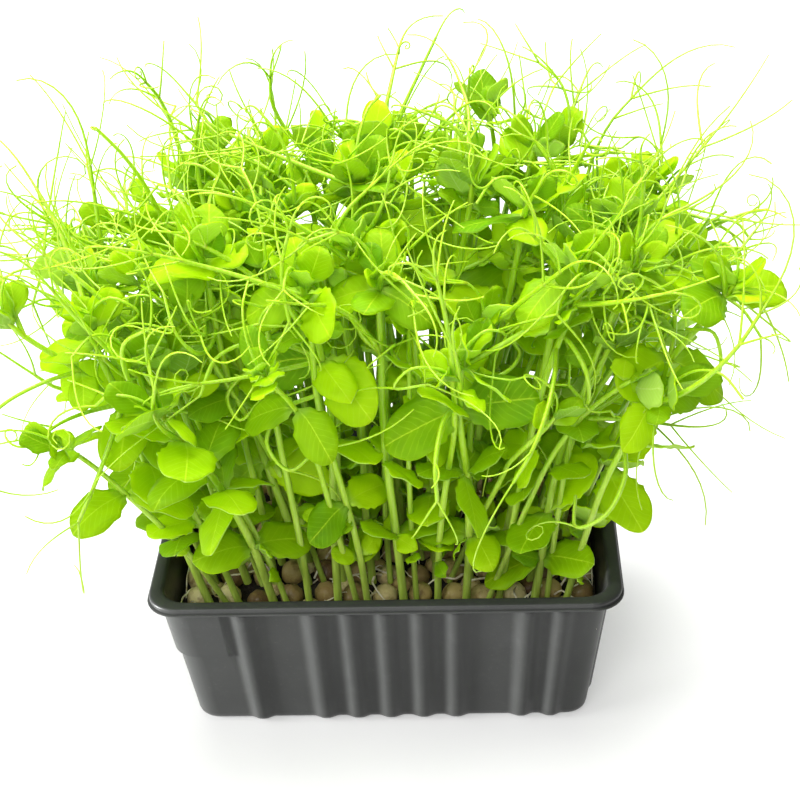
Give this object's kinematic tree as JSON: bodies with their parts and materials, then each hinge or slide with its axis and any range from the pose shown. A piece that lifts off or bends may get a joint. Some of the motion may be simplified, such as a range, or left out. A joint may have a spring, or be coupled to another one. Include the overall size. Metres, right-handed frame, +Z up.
{
  "type": "pea shoot microgreens tray",
  "caption": "Fluted rectangular plastic growing tray filled with peat and sprouted peas, carrying a dense stand of leafy pea shoots with curled tendrils.",
  "frame": {"origin": "middle of the tray's flat underside, on the surface it stands on", "axes": "+Z up, front long side of the tray towards -Y, +X to the right seen from the front"},
  "size_m": [0.2415, 0.167, 0.1946],
  "materials": {
    "tray_plastic": "satin dark grey thermoformed sheet",
    "growing_medium": "dark crumbly peat",
    "sprouted_seeds": "dull wrinkled pea skins with pale roots",
    "shoots": "fresh waxy translucent leaves and stems"
  },
  "bodies": {
    "root": {"tray": "tray_plastic", "peat": "growing_medium", "seed_bed": "sprouted_seeds", "shoot_01": "shoots", "shoot_02": "shoots", "shoot_03": "shoots", "shoot_04": "shoots", "shoot_05": "shoots", "shoot_06": "shoots", "shoot_07": "shoots", "shoot_08": "shoots", "shoot_09": "shoots", "shoot_10": "shoots", "shoot_11": "shoots", "shoot_12": "shoots", "shoot_13": "shoots", "shoot_14": "shoots", "shoot_15": "shoots", "shoot_16": "shoots", "shoot_17": "shoots", "shoot_18": "shoots", "shoot_19": "shoots", "shoot_20": "shoots", "shoot_21": "shoots", "shoot_22": "shoots", "shoot_23": "shoots", "shoot_24": "shoots", "shoot_25": "shoots", "shoot_26": "shoots", "shoot_27": "shoots", "shoot_28": "shoots", "shoot_29": "shoots", "shoot_30": "shoots", "shoot_31": "shoots", "shoot_32": "shoots", "shoot_33": "shoots", "shoot_34": "shoots", "shoot_35": "shoots", "shoot_36": "shoots", "shoot_37": "shoots", "shoot_38": "shoots", "shoot_39": "shoots", "shoot_40": "shoots", "shoot_41": "shoots", "shoot_42": "shoots"}
  },
  "joints": []
}
